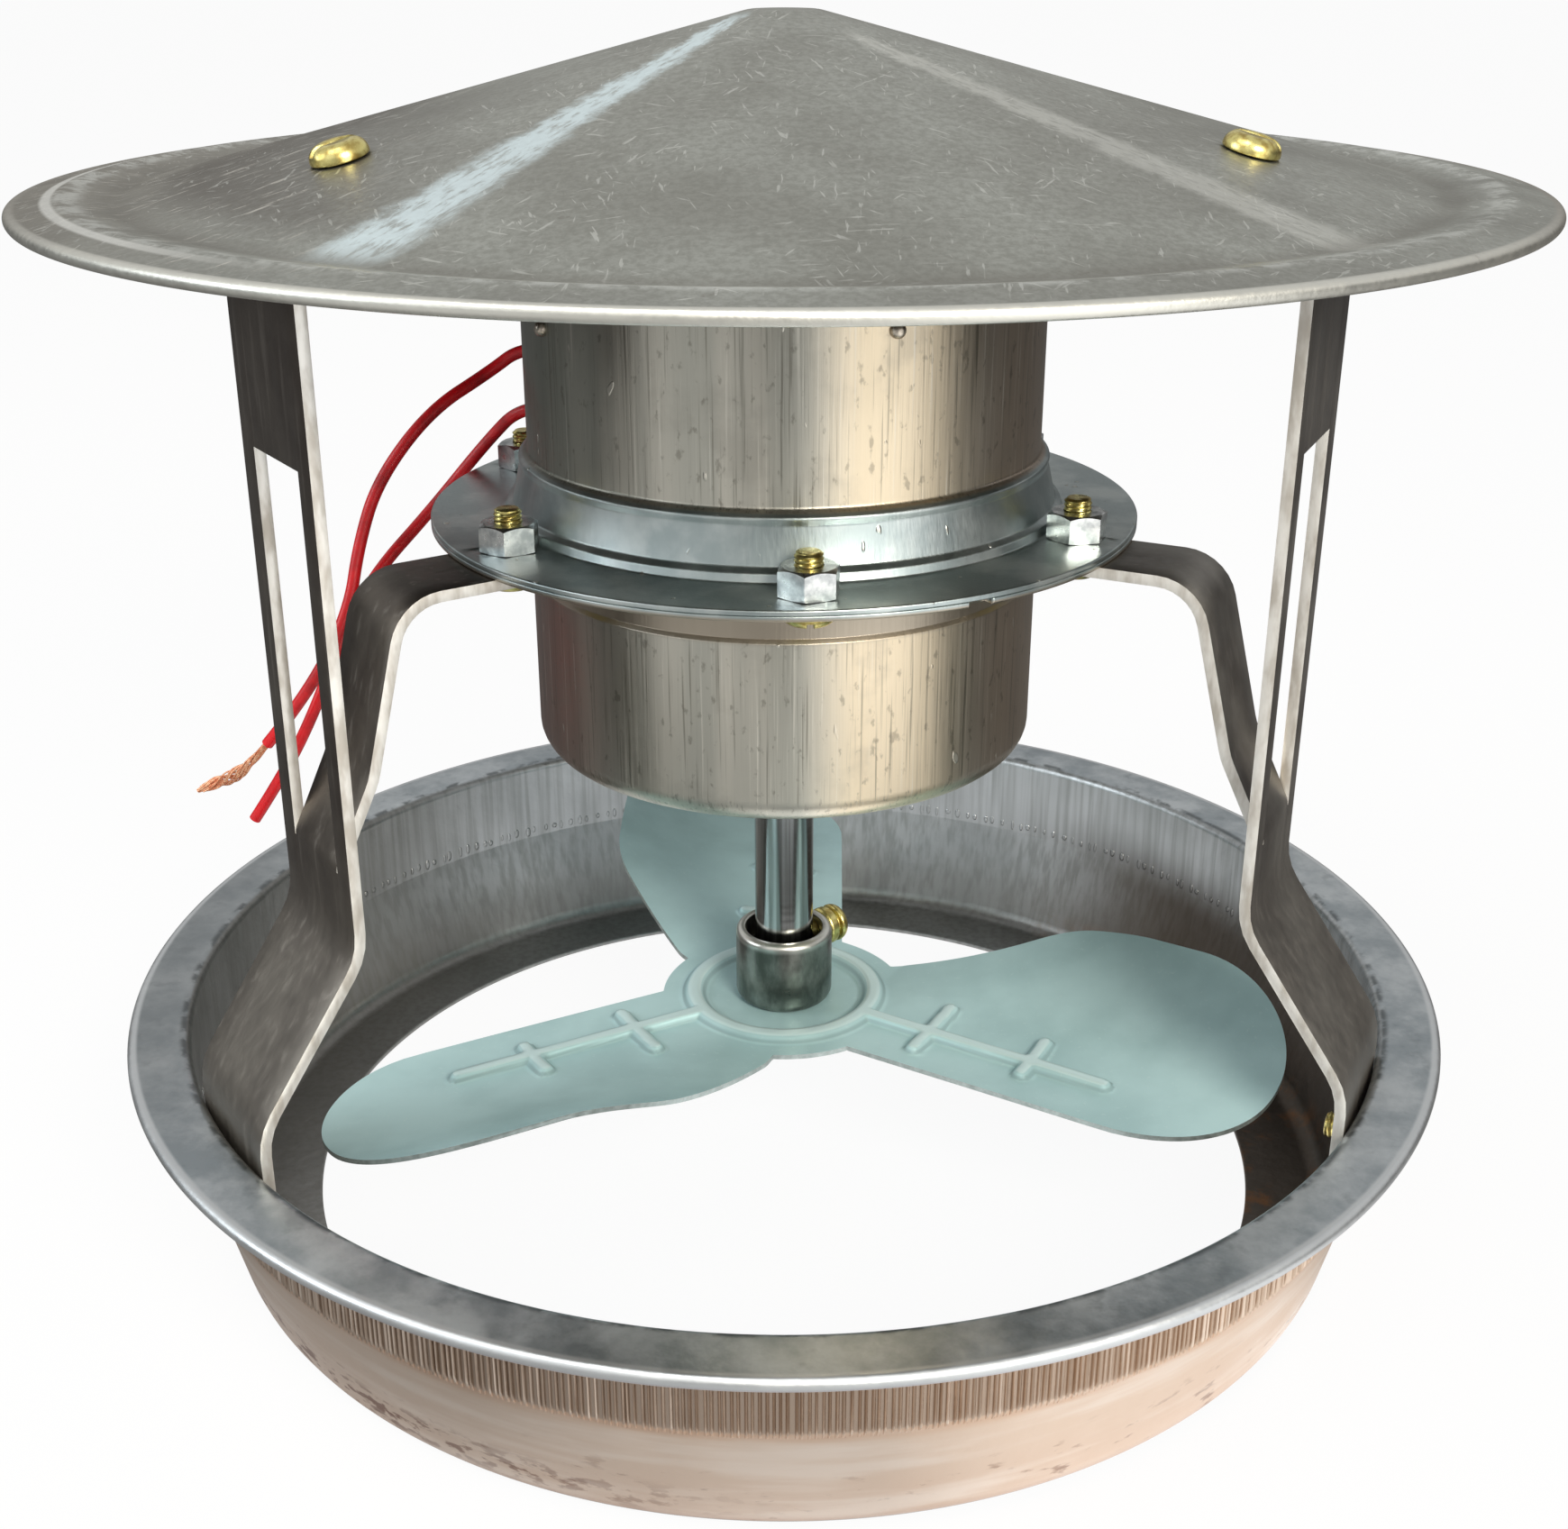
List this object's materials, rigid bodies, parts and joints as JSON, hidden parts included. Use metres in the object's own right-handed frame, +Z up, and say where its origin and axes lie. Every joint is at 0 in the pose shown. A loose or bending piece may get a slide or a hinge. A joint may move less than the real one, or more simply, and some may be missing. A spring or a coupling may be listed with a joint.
{
  "type": "chimney draught fan",
  "caption": "Round draught fan for a flue top: a motor under a rain cap on three struts turns a three-bladed sheet fan above an open base ring.",
  "frame": {"origin": "on the fan's axis, at the underside of the ring's lip", "axes": "+Z up along the fan's axis, -Y towards the viewer of the picture, +X to the picture's right"},
  "size_m": [0.264, 0.264, 0.2305],
  "materials": {
    "ring_sheet": "galvanised, mottled, worn",
    "cap_sheet": "galvanised, satin, scuffed",
    "strut_steel": "dull steel with bright cut edges",
    "brass_screw": "yellow passivated",
    "motor_can": "satin, brushed upright",
    "zinc_fastener": "bright zinc",
    "core_laminations": "stacked laminations",
    "copper_winding": "enamelled copper wire",
    "bearing_steel": "ground",
    "grommet_rubber": "matt",
    "red_insulation": "smooth",
    "copper_strands": "bare copper",
    "shaft_steel": "polished",
    "fan_sheet": "galvanised, satin",
    "hub_steel": "turned, dark"
  },
  "bodies": {
    "housing": {"base_ring": "ring_sheet", "rain_cap": "cap_sheet", "strut_back": "strut_steel", "strut_left": "strut_steel", "strut_right": "strut_steel", "cap_screw_back": "brass_screw", "cap_screw_left": "brass_screw", "cap_screw_right": "brass_screw", "base_screw_back": "brass_screw", "base_screw_left": "brass_screw", "base_screw_right": "brass_screw", "flange_bolt_1": "brass_screw", "flange_bolt_2": "brass_screw", "flange_bolt_3": "brass_screw", "flange_bolt_4": "brass_screw", "flange_bolt_5": "brass_screw", "flange_bolt_6": "brass_screw", "motor_upper_shell": "motor_can", "motor_lower_shell": "motor_can", "flange_nut_1": "zinc_fastener", "flange_nut_2": "zinc_fastener", "flange_nut_3": "zinc_fastener", "flange_nut_4": "zinc_fastener", "flange_nut_5": "zinc_fastener", "flange_nut_6": "zinc_fastener", "stator_core": "core_laminations", "stator_winding": "copper_winding", "lower_bearing": "bearing_steel", "upper_bearing": "bearing_steel", "wire_grommet_1": "grommet_rubber", "wire_grommet_2": "grommet_rubber", "lead_wire_1": "red_insulation", "lead_wire_2": "red_insulation", "lead_strands": "copper_strands"},
    "rotor": {"shaft": "shaft_steel", "rotor_core": "core_laminations", "fan_plate": "fan_sheet", "fan_hub": "hub_steel", "set_screw": "brass_screw"}
  },
  "joints": [
    {"name": "fan_spin", "type": "hinge", "parent": "housing", "child": "rotor", "pos_m": [0, 0, 0.036], "axis": [0, 0, 1], "continuous": true}
  ]
}
